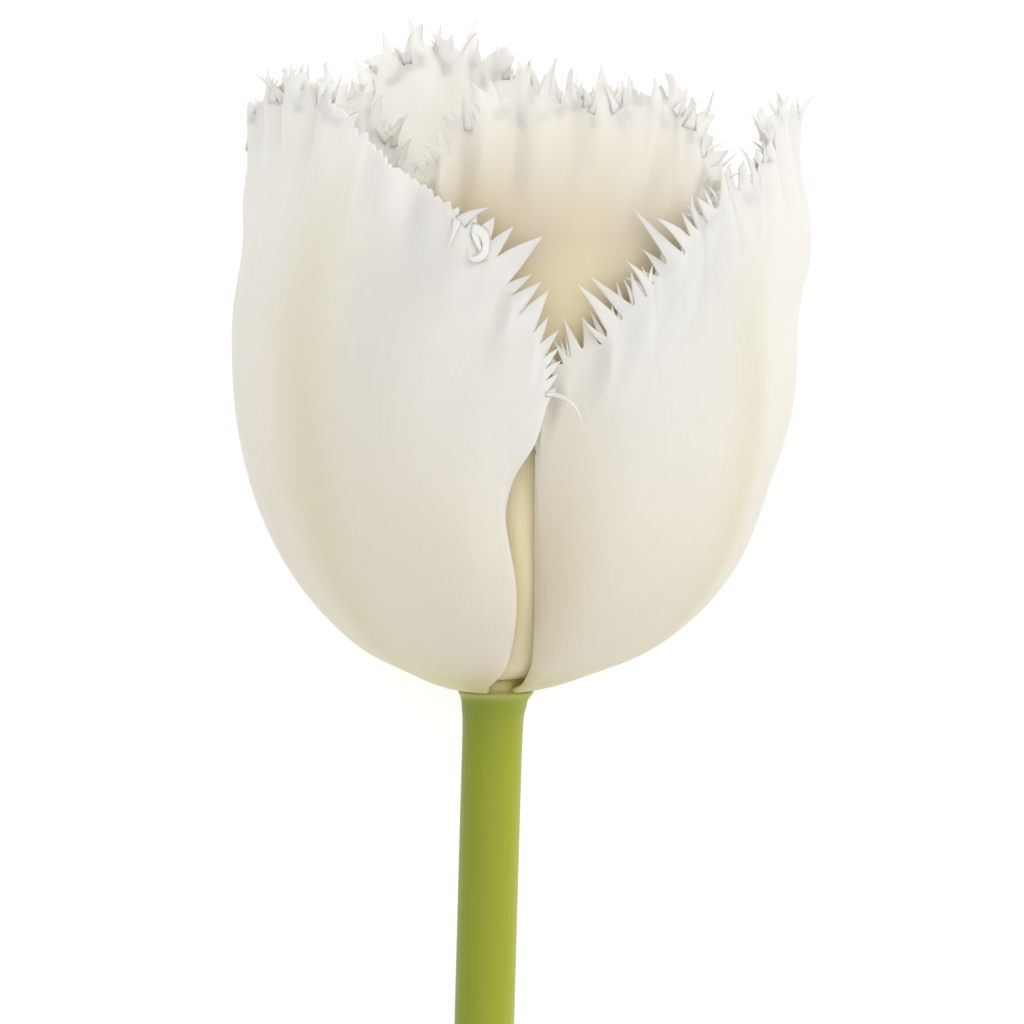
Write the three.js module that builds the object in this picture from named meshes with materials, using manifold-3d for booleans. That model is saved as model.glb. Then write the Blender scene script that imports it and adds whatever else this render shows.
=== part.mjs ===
// A cut fringed tulip, lying on a table: one white bloom of six tepals on its bare flower stalk,
// with six stamens and a three-lobed pistil inside the cup.
//
// Millimetres, +Z up. The origin is the middle of the small flat spot that the back tepal rests on.
// The bloom points along +Y and the stalk runs back along -Y, down to the table at its cut end.
//
// Every piece is first worked out in the bloom's own upright frame, then laid down:
//   x across the bloom, y from its front to its back, z up its axis from the foot of the tepals.
// An azimuth is an angle round the axis in degrees, 0 at the front and 90 at +x.

import * as THREE from 'three';
import { mergeVertices } from 'three/addons/utils/BufferGeometryUtils.js';
import Module from 'manifold-3d';

const wasm = await Module();
wasm.setup();

// ---- driving dimensions -------------------------------------------------------------------

const TILT = 9.5;                 // the bloom's axis above the table, degrees
const FOOT_HEIGHT = 21.7;         // the foot of the tepals above the table
const LEAN = 1.8;                 // sideways lean of the cup's axis
const LEAN_RISE = 5;              // height over which it leans
const RIM_LEAN = 1.0;             // how much further aside the rim leans
const RIM_LEAN_HEIGHTS = [36, 46];
const REST_TRIM = 0.08;           // what the table takes off the resting tepal's skin

const TEPAL_THICKNESS = 0.72;
const HEIGHT_POWER = 1.5;         // how fast a vein climbs from the foot to the margin
const VEINS = 14;                 // cells across a tepal
const ROWS = 14;                  // cells from foot to margin
const TEETH_PER_VEIN = 4;         // teeth of the fringe on each cell of the margin
const TIP_THICKNESS = 0.6;
const MIDRIB = { height: 0.35, width: 0.13 };   // the ridge along u = 0, its width in u

// the two whorls: belly radius, height of the foot, of the belly, and the draw-in above it
const OUTER = { radius: 27.8, base: 0, belly: 34, narrow: 1.0, start: 0.31 };
const INNER = { radius: 24.1, base: 1.35, belly: 34, narrow: 0.6, start: 1.6 };

const STEM_RADIUS = 3.0;
const STEM_LENGTH = 150;
const COLLAR_RADIUS = 3.9;
const COLLAR_PLACE = 1.1;         // the collar's middle below the foot of the tepals
const COLLAR_FADE = 1.5;
const STEM_BEND = 0.8;            // how far the stalk bends aside just below the bloom
const STEM_BEND_LENGTH = 22;
const STEM_SWEEP = 3.0;           // and by how much more over its whole length

const OVARY_RADIUS = 3.3;
const OVARY_TOP = 23.5;
const STAMENS = 6;
const STAMEN_TURN = 20;           // azimuth of the first one
const FILAMENT_RING = 4.9;        // the stamens' circle round the ovary
const FILAMENT_TOP = 11.6;
const ANTHER_LENGTH = 11;

// Each tepal: its fringed margin as (azimuth, height) points from its left side over the tip to
// its right side, and the azimuths of its two plain lower edges from the foot up to that margin.
// tooth: the fringe's length; tuck: how far its right side stands out and its left side in;
// flare: how far its rim leans outward; wave: ripple of the rim, its count and phase.
const TEPALS = {
  outer_tepal_left: {
    cup: OUTER, seed: 11, tooth: 3.1, tuck: 1.2, flare: 0.2, wave: 0.5, ripples: 5, phase: 0.6,
    margin: [[-105, 21], [-107, 30], [-104, 38.5], [-97, 46], [-88, 52.5], [-78, 58], [-66, 60.3],
      [-54, 60.6], [-43, 58.8], [-33, 54.8], [-22, 51.6], [-12, 48.6], [-3, 45], [3, 40], [7, 35.8],
      [6.6, 30.9]],
    left: [-113, -112, -109, -105],
    right: [-8, -7, -1.5, 0.3, 0.9, 1.3, 1.35, 0.7, -0.6, -1.35, 0.4, 4.5, 6.6],
  },
  outer_tepal_right: {
    cup: OUTER, seed: 12, tooth: 3.0, tuck: 1.1, flare: -0.1, wave: 0.5, ripples: 4, phase: 2.2,
    margin: [[4.9, 25], [6.5, 31], [11.5, 35], [18, 36.3], [24, 39.6], [31, 43], [37.5, 46],
      [44, 49], [50.5, 50.8], [56.5, 52.3], [61, 55], [70, 57.2], [82, 57.4], [93, 55], [101, 49],
      [107, 41], [111, 32], [113, 24]],
    left: [34, 16.5, 10, 7.3, 5.9, 5.2, 4.9], right: [115, 115, 114, 113],
  },
  outer_tepal_back: {
    cup: OUTER, seed: 13, tooth: 3.2, tuck: 0.8, flare: 0.3, wave: 0.7, ripples: 6, phase: 1.1,
    margin: [[121, 23], [121, 32], [127, 41], [138.5, 48], [152.5, 53.5], [168, 57], [182, 60.4],
      [196, 62.8], [209.5, 62], [222.5, 57], [233.5, 49.5], [241, 41], [243.5, 32], [245, 22]],
    left: [121, 121, 121, 121], right: [240, 243, 245, 245],
  },
  inner_tepal_front: {
    cup: INNER, seed: 14, tooth: 3.0, tuck: 0.1, flare: 1.3, wave: 0.5, ripples: 5, phase: 0.3,
    margin: [[-45, 24], [-43, 32], [-35.5, 40], [-26.5, 47], [-18.5, 54], [-8, 58.4], [4, 59],
      [15.5, 59], [26.5, 58.8], [37, 58.5], [43, 55], [47, 48], [52.5, 40], [57, 32], [58, 24]],
    left: [-36, -41, -44.5, -45], right: [39, 50, 57, 58],
  },
  inner_tepal_back_left: {
    cup: INNER, seed: 15, tooth: 2.8, tuck: 0.1, flare: 0.4, wave: 0.7, ripples: 5, phase: 1.9,
    margin: [[-172, 26], [-172, 34], [-166, 42], [-155.5, 49], [-143, 55], [-130, 58],
      [-115, 55.5], [-101, 50], [-89, 44], [-77, 38], [-69, 31], [-66, 24]],
    left: [-160, -168, -172, -172], right: [-76, -68, -66, -66],
  },
  inner_tepal_back_right: {
    cup: INNER, seed: 16, tooth: 2.8, tuck: 0.1, flare: 0.4, wave: 0.7, ripples: 5, phase: 0.9,
    margin: [[72, 22], [74, 30], [84, 37], [98, 42], [111.5, 46.5], [127, 52], [140.5, 56],
      [153.5, 54.5], [165, 49], [172.5, 42], [176, 34], [177.5, 26]],
    left: [84, 74, 72, 72], right: [166, 175, 177, 177.5],
  },
};

// ---- small helpers ------------------------------------------------------------------------

const { sin, cos, sqrt, abs, min, max, tanh, exp, floor, PI } = Math;
const radians = (degrees) => degrees * PI / 180;
const mix = (a, b, w) => a * (1 - w) + b * w;

/** Rises smoothly from 0 at lo to 1 at hi. */
function smooth(lo, hi, x) {
  const t = min(max((x - lo) / (hi - lo), 0), 1);
  return t * t * (3 - 2 * t);
}

/** A repeatable stream of numbers from 0 to 1. */
function stream(seed) {
  let state = seed * 7919;
  return () => {
    state = (state * 1664525 + 1013904223) % 4294967296;
    return state / 4294967296;
  };
}

/** The point at t, from 0 to 1, on a smooth curve through equally spaced numbers or pairs. */
function through(points, t) {
  const list = points.map((p) => (Array.isArray(p) ? p : [p]));
  const x = min(max(t, 0), 1) * (list.length - 1);
  const i = min(floor(x), list.length - 2);
  const f = x - i;
  const end = list.length - 1;
  return list[0].map((_, k) => {
    const b = list[i][k];
    const c = list[i + 1][k];
    const a = i > 0 ? list[i - 1][k] : 2 * b - c;
    const d = i + 2 <= end ? list[i + 2][k] : 2 * c - b;
    return 0.5 * (2 * b + (c - a) * f + (2 * a - 5 * b + 4 * c - d) * f * f
      + (3 * b - a - 3 * c + d) * f * f * f);
  });
}

/** Where the cup's axis stands at a height. */
const axisX = (z) => LEAN * tanh(z / LEAN_RISE) + RIM_LEAN * smooth(...RIM_LEAN_HEIGHTS, z);

/** From the upright bloom to the flower lying on the table. */
const layDown = new THREE.Matrix4();

/** A mesh's geometry from a list of points and a list of triangles. */
function geometryOf(points, triangles) {
  const geometry = new THREE.BufferGeometry();
  const places = points.flatMap((p) => [p.x, p.y, p.z]);
  geometry.setAttribute('position', new THREE.Float32BufferAttribute(places, 3));
  geometry.setIndex(triangles.flat());
  return geometry;
}

/** A closed solid from a geometry, with its shared vertices merged. */
function solidOf(geometry) {
  geometry.deleteAttribute('normal');
  geometry.deleteAttribute('uv');
  const merged = mergeVertices(geometry, 1e-4);
  return new wasm.Manifold(new wasm.Mesh({
    numProp: 3,
    vertProperties: new Float32Array(merged.attributes.position.array),
    triVerts: new Uint32Array(merged.index.array),
  }));
}

/** A geometry from a solid. */
function geometryFrom(solid) {
  const mesh = solid.getMesh();
  const places = new Float32Array(mesh.vertProperties);
  const geometry = new THREE.BufferGeometry();
  geometry.setAttribute('position', new THREE.BufferAttribute(places, 3));
  geometry.setIndex(new THREE.BufferAttribute(new Uint32Array(mesh.triVerts), 1));
  return geometry;
}

// ---- the tepals ---------------------------------------------------------------------------

/** The cup's radius at a height: a deep round bowl that draws in a little above its belly. */
function cupRadius(z, cup) {
  const t = min(max(1 - (z - cup.base) / (cup.belly - cup.base), 0), 1);
  const above = max(z - cup.belly, 0) / 22;
  return cup.radius * sqrt(max(1 - t ** 2.2, 0)) - cup.narrow * above * above;
}

/**
 * A point of a tepal's middle surface. u runs across it from -1 to 1, so that lines of equal u are
 * its veins, and v runs along a vein from the foot, 0, to the margin, 1. Azimuth and height blend
 * from the foot to the margin's curve, and the cup's radius at that height is then pushed out by
 * the tuck, by the flare and ripple of the rim, and by the low ridge of the midrib.
 */
function tepalPoint(tepal, u, v) {
  const w = (u + 1) / 2;
  const rise = v ** HEIGHT_POWER;
  const [edgeAzimuth, edgeHeight] = through(tepal.margin, w);
  const first = tepal.margin[0][0];
  const last = tepal.margin[tepal.margin.length - 1][0];
  const plain = mix(through(tepal.left, v)[0], through(tepal.right, v)[0], w);
  const azimuth = radians(plain + (edgeAzimuth - mix(first, last, w)) * rise);
  const z = mix(tepal.cup.start, edgeHeight, rise);
  const rim = smooth(0.7, 1, v);
  const radius = cupRadius(z, tepal.cup)
    + tepal.tuck * u * abs(u) * smooth(0.25, 0.6, v)
    + tepal.flare * rim * rim * (1 - u * u)
    + tepal.wave * sin(PI * tepal.ripples * u + tepal.phase) * smooth(0.55, 1, v) * (0.4 + 0.6 * abs(u))
    + MIDRIB.height * exp(-((u / MIDRIB.width) ** 2)) * smooth(0.05, 0.3, v) * (1 - smooth(0.75, 1, v));
  return new THREE.Vector3(axisX(z) + radius * sin(azimuth), -radius * cos(azimuth), z);
}

/**
 * The way out of the cup at a point of a tepal, square to the bowl's turned surface there, and the
 * way that its vein runs.
 */
function tepalFrame(tepal, u, v) {
  const here = tepalPoint(tepal, u, v);
  const z = max(here.z, tepal.cup.start);
  const slope = (cupRadius(z + 0.01, tepal.cup) - cupRadius(z - 0.01, tepal.cup)) / 0.02;
  const out = new THREE.Vector3(here.x - axisX(z), here.y, 0).normalize();
  out.z = -slope;
  const along = tepalPoint(tepal, u, min(v + 0.01, 1)).sub(tepalPoint(tepal, u, max(v - 0.01, 0)));
  return { out: out.normalize(), along: along.normalize() };
}

/** How far the table pushes a point of the resting tepal up, along its own inward direction. */
function pressedBy(point) {
  const low = point.clone().applyMatrix4(layDown).z;
  return max(-REST_TRIM - low, 0);
}

/**
 * A tepal with its fringe: an outer and an inner face split into triangles alike, half a thickness
 * either side of the middle surface, and closed round their edge. The last row has several points
 * to each vein, at drawn steps, and between every two of them a tooth stands out: a pointed blade
 * that heads between the way of its vein and straight out from the margin, leaning in or out in turn.
 */
function tepalSolid(tepal) {
  const draw = stream(tepal.seed);
  const up = new THREE.Vector3(0, 0, 1).transformDirection(standUp);
  const outside = [];
  const inside = [];
  const addPoint = (middle, out, thickness) => {
    const outer = middle.clone().addScaledVector(out, thickness / 2);
    const inner = middle.clone().addScaledVector(out, -thickness / 2);
    const push = pressedBy(outer);
    outside.push(outer.addScaledVector(up, push));
    inside.push(inner.addScaledVector(up, push));
  };
  for (let j = 0; j < ROWS; j += 1) {
    for (let i = 0; i <= VEINS; i += 1) {
      const u = -1 + 2 * i / VEINS;
      addPoint(tepalPoint(tepal, u, j / ROWS), tepalFrame(tepal, u, j / ROWS).out, TEPAL_THICKNESS);
    }
  }
  const teeth = VEINS * TEETH_PER_VEIN;
  const valleys = outside.length;
  const steps = [];
  for (let k = 0; k <= teeth; k += 1) {
    const loose = k % TEETH_PER_VEIN ? 0.5 * (draw() - 0.5) : 0;
    const u = -1 + 2 * (k + loose) / teeth;
    const v = 1 - 0.012 * draw();
    steps.push(u);
    addPoint(tepalPoint(tepal, u, v), tepalFrame(tepal, u, v).out, TEPAL_THICKNESS);
  }
  const tips = outside.length;
  for (let k = 0; k < teeth; k += 1) {
    const u = (steps[k] + steps[k + 1]) / 2;
    const { out, along } = tepalFrame(tepal, u, 1);
    const step = tepalPoint(tepal, steps[k + 1], 1).sub(tepalPoint(tepal, steps[k], 1)).normalize();
    const square = out.clone().cross(step).normalize();
    const fade = 1 - 0.8 * smooth(0.8, 0.97, abs(u));
    const lean = (k % 2 ? 0.3 : -0.2) + 0.22 * u;
    const heading = square.multiplyScalar(0.8).addScaledVector(along, 0.5)
      .addScaledVector(step, mix(-0.2, 0.2, draw()))
      .addScaledVector(out, lean + mix(-0.1, 0.1, draw())).normalize();
    const length = tepal.tooth * fade * mix(0.65, 1.25, draw());
    const tip = tepalPoint(tepal, u, 1).addScaledVector(heading, length);
    const flat = step.clone().cross(heading).normalize();
    addPoint(tip, flat.dot(out) < 0 ? flat.negate() : flat, TIP_THICKNESS);
  }

  const count = outside.length;
  const triangles = [];
  const face = (a, b, c) => triangles.push([a, b, c], [count + a, count + c, count + b]);
  const edge = (a, b) => triangles.push([a, b, count + b], [a, count + b, count + a]);
  const at = (i, j) => j * (VEINS + 1) + i;
  for (let j = 0; j < ROWS - 1; j += 1) {
    for (let i = 0; i < VEINS; i += 1) {
      face(at(i, j), at(i + 1, j), at(i + 1, j + 1));
      face(at(i, j), at(i + 1, j + 1), at(i, j + 1));
    }
    edge(at(0, j), at(0, j + 1));
    edge(at(VEINS, j + 1), at(VEINS, j));
  }
  const half = floor(TEETH_PER_VEIN / 2);
  for (let i = 0; i < VEINS; i += 1) {
    const [a, b] = [at(i, ROWS - 1), at(i + 1, ROWS - 1)];
    const first = valleys + i * TEETH_PER_VEIN;
    for (let m = 0; m < TEETH_PER_VEIN; m += 1) face(m < half ? a : b, first + m + 1, first + m);
    face(a, b, first + half);
    edge(at(i + 1, 0), at(i, 0));
  }
  edge(at(0, ROWS - 1), valleys);
  edge(valleys + teeth, at(VEINS, ROWS - 1));
  for (let k = 0; k < teeth; k += 1) {
    face(valleys + k, valleys + k + 1, tips + k);
    edge(valleys + k, tips + k);
    edge(tips + k, valleys + k + 1);
  }
  return solidOf(geometryOf([...outside, ...inside], triangles).applyMatrix4(layDown));
}

/** Keeps what stands above the table. */
function aboveTable(solid) {
  const table = new THREE.BoxGeometry(400, 600, 20);
  table.translate(0, 0, -10);
  return solid.subtract(solidOf(table));
}

// ---- stem, stamens and pistil -------------------------------------------------------------

/**
 * A closed form of rings carried up a line of middles: ring(k) gives each station's middle, its two
 * cross directions and a radius for each angle.
 */
function ringForm(stations, sides, ring) {
  const points = [];
  const triangles = [];
  for (let k = 0; k < stations; k += 1) {
    const { middle, a, b, radius } = ring(k);
    for (let i = 0; i < sides; i += 1) {
      const angle = 2 * PI * i / sides;
      const r = radius(angle);
      points.push(middle.clone().addScaledVector(a, r * cos(angle)).addScaledVector(b, r * sin(angle)));
    }
  }
  const start = points.length;
  points.push(ring(0).middle.clone(), ring(stations - 1).middle.clone());
  for (let k = 0; k < stations - 1; k += 1) {
    for (let i = 0; i < sides; i += 1) {
      const n = (i + 1) % sides;
      const [p, q, r, s] = [k * sides + i, k * sides + n, (k + 1) * sides + n, (k + 1) * sides + i];
      triangles.push([p, q, r], [p, r, s]);
    }
  }
  for (let i = 0; i < sides; i += 1) {
    const n = (i + 1) % sides;
    triangles.push([start, n, i]);
    triangles.push([start + 1, (stations - 1) * sides + i, (stations - 1) * sides + n]);
  }
  return geometryOf(points, triangles);
}

const ACROSS = new THREE.Vector3(1, 0, 0);
const BACK = new THREE.Vector3(0, 1, 0);

/** An upright turned form from (height, radius) pairs round a leaning middle. */
function turned(profile, sides, lobes = 0, depth = 0, x = axisX) {
  return ringForm(profile.length, sides, (k) => {
    const [z, r] = profile[k];
    return {
      middle: new THREE.Vector3(x(z), 0, z),
      a: ACROSS,
      b: BACK,
      radius: (angle) => r * (1 + depth * cos(lobes * (angle - PI / 2))),
    };
  });
}

/**
 * The stalk with its collar and the receptacle that the tepals sit round. Lying down it runs back
 * and sinks ever more gently to the table, and bends a little to the left below the bloom.
 */
function stemGeometry() {
  const stations = 20;
  const drop = STEM_LENGTH * sin(radians(TILT)) - (FOOT_HEIGHT - STEM_RADIUS + REST_TRIM);
  const middleAt = (s) => {
    const lying = new THREE.Vector3(
      -STEM_BEND * (1 - exp(-s / STEM_BEND_LENGTH)) - STEM_SWEEP * sin(PI * s / (2 * STEM_LENGTH)) ** 2,
      -s * cos(radians(TILT)),
      FOOT_HEIGHT - s * sin(radians(TILT)) + drop * (s / STEM_LENGTH) ** 2,
    );
    return lying.add(layOrigin).applyMatrix4(standUp);
  };
  const along = [];
  const head = [[1.75, 1.9], [1.6, 2.5], [0.9, 2.75], [0.0, 3.1], [-0.25, 3.6], [-0.5, 3.85],
    [-COLLAR_PLACE, COLLAR_RADIUS]];
  for (const [z, r] of head) {
    along.push({ middle: new THREE.Vector3(axisX(max(z, 0)), 0, z), r, level: true });
  }
  const rodStart = 5;
  for (let k = -3; k <= stations; k += 1) {
    const s = k < 0 ? rodStart + 1.1 * k : rodStart + (STEM_LENGTH - rodStart) * k / stations;
    const swell = (COLLAR_RADIUS - STEM_RADIUS) * exp(-(((s - COLLAR_PLACE) / COLLAR_FADE) ** 2));
    along.push({ middle: middleAt(s), r: STEM_RADIUS + swell });
  }
  along.reverse();
  const sides = 16;
  return ringForm(along.length, sides, (k) => {
    const before = along[max(k - 1, 0)].middle;
    const after = along[min(k + 1, along.length - 1)].middle;
    const forward = along[k].level ? new THREE.Vector3(0, 0, 1) : after.clone().sub(before).normalize();
    const a = ACROSS.clone().addScaledVector(forward, -ACROSS.dot(forward)).normalize();
    return { middle: along[k].middle, a, b: forward.clone().cross(a).normalize(), radius: () => along[k].r };
  });
}

/** The six-ribbed ovary, a three-sided column that narrows under the stigma. */
function ovaryGeometry() {
  const profile = [[2.35, 2.2], [2.9, 2.7], [5, 3.1], [9, OVARY_RADIUS], [14, 3.2], [18, 2.9],
    [21, 2.4], [OVARY_TOP, 2.0]];
  return turned(profile, 18, 3, 0.09);
}

/** The stigma: three thick lobes that fold out over the top of the ovary. */
function stigmaGeometry() {
  const foot = OVARY_TOP + 0.3;
  const profile = [[foot, 1.8], [foot + 0.6, 2.5], [foot + 1.4, 3.5], [foot + 2.3, 4.1],
    [foot + 3.0, 3.9], [foot + 3.4, 2.8]];
  return turned(profile, 24, 3, 0.24);
}

/** Where a stamen stands at a height: its circle widens slowly up to the anther. */
function stamenMiddle(azimuth, z) {
  const ring = FILAMENT_RING + 1.9 * smooth(2, 24, z);
  return new THREE.Vector3(axisX(z) + ring * sin(azimuth), -ring * cos(azimuth), z);
}

/** One filament: a stout stalk that tapers upward to a point under the anther. */
function filamentGeometry(azimuth) {
  const profile = [[3.1, 0.9], [4.2, 1.05], [7, 0.9], [9.5, 0.65], [FILAMENT_TOP, 0.42]];
  return ringForm(profile.length, 6, (k) => ({
    middle: stamenMiddle(azimuth, profile[k][0]), a: ACROSS, b: BACK, radius: () => profile[k][1],
  }));
}

/** One anther: a long pod, broader across than deep, with a groove down its outer face. */
function antherGeometry(azimuth) {
  const foot = FILAMENT_TOP + 0.3;
  const steps = 6;
  const outward = new THREE.Vector3(sin(azimuth), -cos(azimuth), 0);
  const sideways = new THREE.Vector3(cos(azimuth), sin(azimuth), 0);
  return ringForm(steps + 1, 8, (k) => {
    const t = k / steps;
    const size = 0.35 + 0.95 * sqrt(max(1 - (2 * t - 1) ** 4, 0));
    return {
      middle: stamenMiddle(azimuth, foot + ANTHER_LENGTH * t),
      a: outward,
      b: sideways,
      radius: (angle) => size * (1 - 0.16 * cos(2 * angle)),
    };
  });
}

// ---- laying the flower down ---------------------------------------------------------------

// Turned onto its back tepal, the bloom touches the table where that tepal's outer face runs
// level. The origin goes there.
layDown.makeRotationX(radians(TILT - 90));
let touch = new THREE.Vector3(0, 0, 1e9);
for (let z = 10; z < 45; z += 0.05) {
  const middle = new THREE.Vector3(axisX(z), cupRadius(z, OUTER) + TEPAL_THICKNESS / 2, z);
  const low = middle.applyMatrix4(layDown);
  if (low.z < touch.z) touch = low;
}
const layOrigin = new THREE.Vector3(-touch.x, -touch.y, 0);
layDown.setPosition(layOrigin.x, layOrigin.y, FOOT_HEIGHT);
const standUp = layDown.clone().invert();

// ---- the flower ---------------------------------------------------------------------------

const flesh = (color, roughness) => new THREE.MeshStandardMaterial({ color, roughness, metalness: 0 });
const outerWhite = flesh(0xe6e1d6, 0.55);
const innerCream = flesh(0xdfd8bf, 0.55);
const stalkGreen = flesh(0x8f9a3a, 0.5);
const antherYellow = flesh(0xd9bf58, 0.8);
const filamentCream = flesh(0xe8e2b8, 0.6);
const ovaryGreen = flesh(0xa9b865, 0.5);
const stigmaCream = flesh(0xe6e0a8, 0.75);

const tulip = new THREE.Group();

function place(name, geometry, material) {
  const mesh = new THREE.Mesh(geometry, material);
  mesh.name = name;
  tulip.add(mesh);
}

place('stem', geometryFrom(aboveTable(solidOf(stemGeometry().applyMatrix4(layDown)))), stalkGreen);
for (const [name, tepal] of Object.entries(TEPALS)) {
  const material = (tepal.cup === OUTER ? outerWhite : innerCream).clone();
  place(name, geometryFrom(aboveTable(tepalSolid(tepal))), material);
}
for (let k = 0; k < STAMENS; k += 1) {
  const azimuth = radians(360 * k / STAMENS + STAMEN_TURN);
  place(`filament_${k + 1}`, filamentGeometry(azimuth).applyMatrix4(layDown), filamentCream.clone());
  place(`anther_${k + 1}`, antherGeometry(azimuth).applyMatrix4(layDown), antherYellow.clone());
}
place('ovary', ovaryGeometry().applyMatrix4(layDown), ovaryGreen);
place('stigma', stigmaGeometry().applyMatrix4(layDown), stigmaCream);

export default tulip;
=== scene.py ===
# %% [markdown]
# # A fringed tulip on a table
# One cut tulip of the fringed kind: six white petals (tepals) round the stamens and the pistil, on a
# bare green stalk. The solids already stand in the frame. Here each of them gets a fine surface that
# keeps its form, and a finish made for that living tissue. Lengths are in millimetres until a mesh
# is written, where they become metres.

# %% The frame
import math

import bpy
import numpy as np
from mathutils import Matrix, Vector


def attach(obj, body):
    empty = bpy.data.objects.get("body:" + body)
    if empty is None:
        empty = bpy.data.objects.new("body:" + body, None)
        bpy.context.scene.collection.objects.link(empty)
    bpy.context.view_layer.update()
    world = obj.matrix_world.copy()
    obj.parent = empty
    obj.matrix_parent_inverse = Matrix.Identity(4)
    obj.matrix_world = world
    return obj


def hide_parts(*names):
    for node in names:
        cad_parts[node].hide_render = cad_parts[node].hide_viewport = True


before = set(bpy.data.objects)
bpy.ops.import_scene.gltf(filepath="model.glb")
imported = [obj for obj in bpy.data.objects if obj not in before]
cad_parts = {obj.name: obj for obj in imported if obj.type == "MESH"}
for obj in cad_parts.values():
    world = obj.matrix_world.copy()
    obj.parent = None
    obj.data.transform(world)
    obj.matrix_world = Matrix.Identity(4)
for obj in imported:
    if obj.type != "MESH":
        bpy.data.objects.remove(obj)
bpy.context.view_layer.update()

# %% [markdown]
# ## The bloom's own upright frame
# A tulip is far easier to describe standing up: x across, y to its back, z up its axis, and an angle
# round the axis, 0 at the front. One turn and one shift then lay the whole flower down, so that its
# back petal touches the table at the origin. The numbers are the ones that the solids were made from.

# %% Laying the flower down
TILT = math.radians(9.5)          # the bloom's axis above the table
FOOT_HEIGHT = 21.7                # the foot of the petals above the table
LEAN, LEAN_RISE = 1.8, 5.0        # the cup's sideways lean, and the height over which it leans
RIM_LEAN, RIM_LEAN_HEIGHTS = 1.0, (36, 46)   # how much further aside the rim leans
PETAL_THICKNESS = 0.72            # as the solids have it
RIM_THINNING = 0.16               # what half the thickness loses towards the margin
EDGE_THINNING = 0.1               # and what it loses more along the lower side edges
HEIGHT_POWER = 1.5                # how a vein climbs: slowly at the foot, faster towards the margin
BOWL_POWER = 2.2                  # how square the bowl is; 2 would make it an ellipse
NARROW_HEIGHT = 22.0              # height above the belly where the bowl has drawn in by its narrow
PINCH_HEIGHT, PINCH_TALL = 2.1, 1.5          # where the bowl is gathered in at its foot, and how tall
RIB_HEIGHT, RIB_WIDTH = 0.35, 0.13           # the midrib's height, and its width in vein numbers
# the two bowls: radius at the belly, heights of their bottom and belly, how far they narrow above it
# and are pinched in at the foot, and the height where their petals start
OUTER = dict(radius=27.8, base=0.0, belly=34.0, narrow=1.0, pinch=0.9, start=0.31)
INNER = dict(radius=24.1, base=1.35, belly=34.0, narrow=0.6, pinch=0.0, start=1.6)


def smooth(low, high, x):
    """Rises from 0 at low to 1 at high along 3t^2 - 2t^3."""
    t = np.clip((x - low) / (high - low), 0.0, 1.0)
    return t * t * (3 - 2 * t)


def bell(x, width):
    """A bump of height 1: e to the minus (x / width) squared."""
    return np.exp(-((x / width) ** 2))


def axis_x(z):
    """The axis leans aside by LEAN * tanh(height / LEAN_RISE), and once more towards the rim."""
    return LEAN * np.tanh(z / LEAN_RISE) + RIM_LEAN * smooth(*RIM_LEAN_HEIGHTS, z)


def cup_radius(z, cup):
    """A round bowl, radius * sqrt(1 - t^2.2) with t the share of height left to the belly, drawn in
    above it and a little near its foot."""
    t = np.clip(1 - (z - cup["base"]) / (cup["belly"] - cup["base"]), 0, 1)
    above = np.maximum(z - cup["belly"], 0) / NARROW_HEIGHT
    return (cup["radius"] * np.sqrt(np.maximum(1 - t**BOWL_POWER, 0)) - cup["narrow"] * above**2
            - cup["pinch"] * bell(z - PINCH_HEIGHT, PINCH_TALL))


turn = np.array([[1, 0, 0], [0, math.sin(TILT), math.cos(TILT)], [0, -math.cos(TILT), math.sin(TILT)]])
heights = np.arange(10, 45, 0.05)
back_y = cup_radius(heights, OUTER) + PETAL_THICKNESS / 2
back_line = np.stack([axis_x(heights), back_y, heights], -1) @ turn.T
touch = back_line[back_line[:, 2].argmin()]
shift = np.array([-touch[0], -touch[1], FOOT_HEIGHT])


def lay_down(points):
    """Turns upright points about x by the tilt less a right angle, then shifts them."""
    return points @ turn.T + shift


print("the foot of the bloom lies at", shift.round(2))

# %% [markdown]
# ## Meshes from whole arrays
# Every surface below is a grid of points worked out at once, so one function writes points, faces and
# the numbers a material needs (where each point is on its petal) into a mesh.

# %% A mesh from arrays
pieces = {}                       # the finished pieces of each slot


def make_piece(name, points, faces, marks, node, finish_slot, flat=()):
    """A smooth mesh object. points are laid-down mm, faces lists of indices, marks one vector a point,
    and flat the numbers of the faces that stay flat, such as ends and cut edges."""
    mesh = bpy.data.meshes.new(name)
    mesh.from_pydata((points / 1000).tolist(), [], faces)
    soft = np.ones(len(mesh.polygons), bool)
    soft[list(flat)] = False
    mesh.polygons.foreach_set("use_smooth", soft)
    store = mesh.attributes.new("place", "FLOAT_VECTOR", "POINT")
    store.data.foreach_set("vector", np.asarray(marks, np.float32).ravel())
    mesh.update()
    piece = bpy.data.objects.new(name, mesh)
    bpy.context.scene.collection.objects.link(piece)
    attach(piece, "root")
    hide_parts(node)
    pieces.setdefault(finish_slot, []).append(piece)
    return piece


def grid_faces(rows, columns, first=0, wrap=False, flip=False):
    """The quads of a grid whose points run along its columns first."""
    j, i = np.meshgrid(np.arange(rows - 1), np.arange(columns if wrap else columns - 1), indexing="ij")
    n = (i + 1) % columns
    quads = np.stack([j * columns + i, j * columns + n, (j + 1) * columns + n, (j + 1) * columns + i], -1)
    quads = quads.reshape(-1, 4) + first
    return quads[:, ::-1] if flip else quads


# %% [markdown]
# ## The petals
# A tulip petal is a curved blade whose veins fan out from its foot to its margin. So the surface is a
# grid along and across the veins: u picks the vein and v the place on it. The margin is a smooth curve
# through a few points, and everything between it and the foot follows from the bowl. Each row of a rim
# table says what the torn edge is like at one share of the way along the margin. A petal could also be
# sculpted, or bent from a plane by modifiers, but a formula gives all six from two bowls, with a known
# gap between them.

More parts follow.
